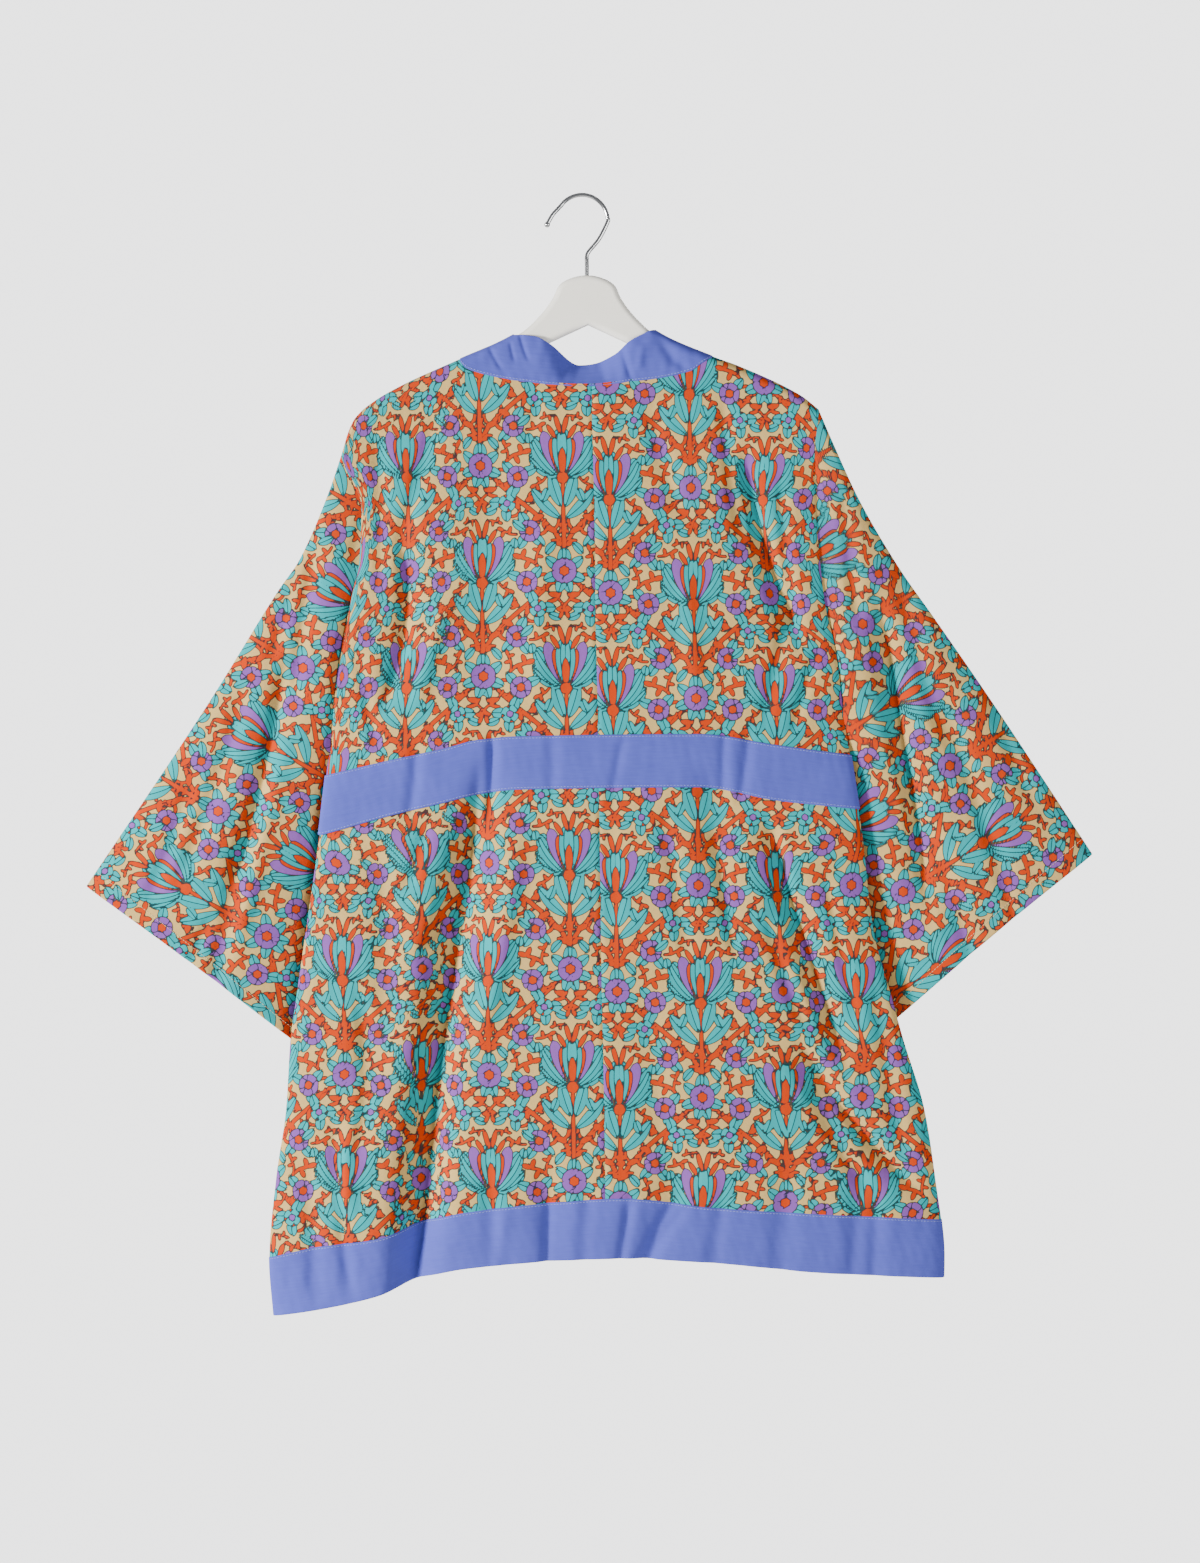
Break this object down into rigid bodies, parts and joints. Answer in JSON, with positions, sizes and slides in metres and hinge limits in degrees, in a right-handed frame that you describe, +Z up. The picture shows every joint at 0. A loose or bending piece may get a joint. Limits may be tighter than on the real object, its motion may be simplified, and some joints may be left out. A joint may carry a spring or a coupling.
{
  "type": "kimono robe on a wooden hanger",
  "caption": "Short, wide kimono-style robe with square sleeves and plain bands at neck, waist and hem, hanging flat on a white wooden hanger with a wire hook.",
  "frame": {"origin": "underside of the top of the hanger's hook, where the hook rests on its rail", "axes": "+Z up, +X to the right for someone who looks at the robe's back, -Y out of the robe's back and +Y out of its front"},
  "size_m": [0.9095, 0.0579, 1.014],
  "materials": {
    "printed_cloth": "soft matt plain weave, printed with flowers and vines in turquoise, orange and lilac",
    "plain_cloth": "periwinkle blue plain weave with a low silky sheen",
    "painted_wood": "warm white satin paint",
    "chrome_wire": "polished"
  },
  "bodies": {
    "root": {"back_upper_left": "printed_cloth", "back_upper_right": "printed_cloth", "back_lower_left": "printed_cloth", "back_lower_right": "printed_cloth", "front_left": "printed_cloth", "front_right": "printed_cloth", "sleeve_left": "printed_cloth", "sleeve_right": "printed_cloth", "neckband_back": "plain_cloth", "neckband_shoulder_left": "plain_cloth", "neckband_shoulder_right": "plain_cloth", "neckband_left": "plain_cloth", "neckband_right": "plain_cloth", "waist_band": "plain_cloth", "hem_band_back": "plain_cloth", "hem_band_left": "plain_cloth", "hem_band_right": "plain_cloth", "hanger_wood": "painted_wood", "hanger_hook": "chrome_wire"}
  },
  "joints": []
}
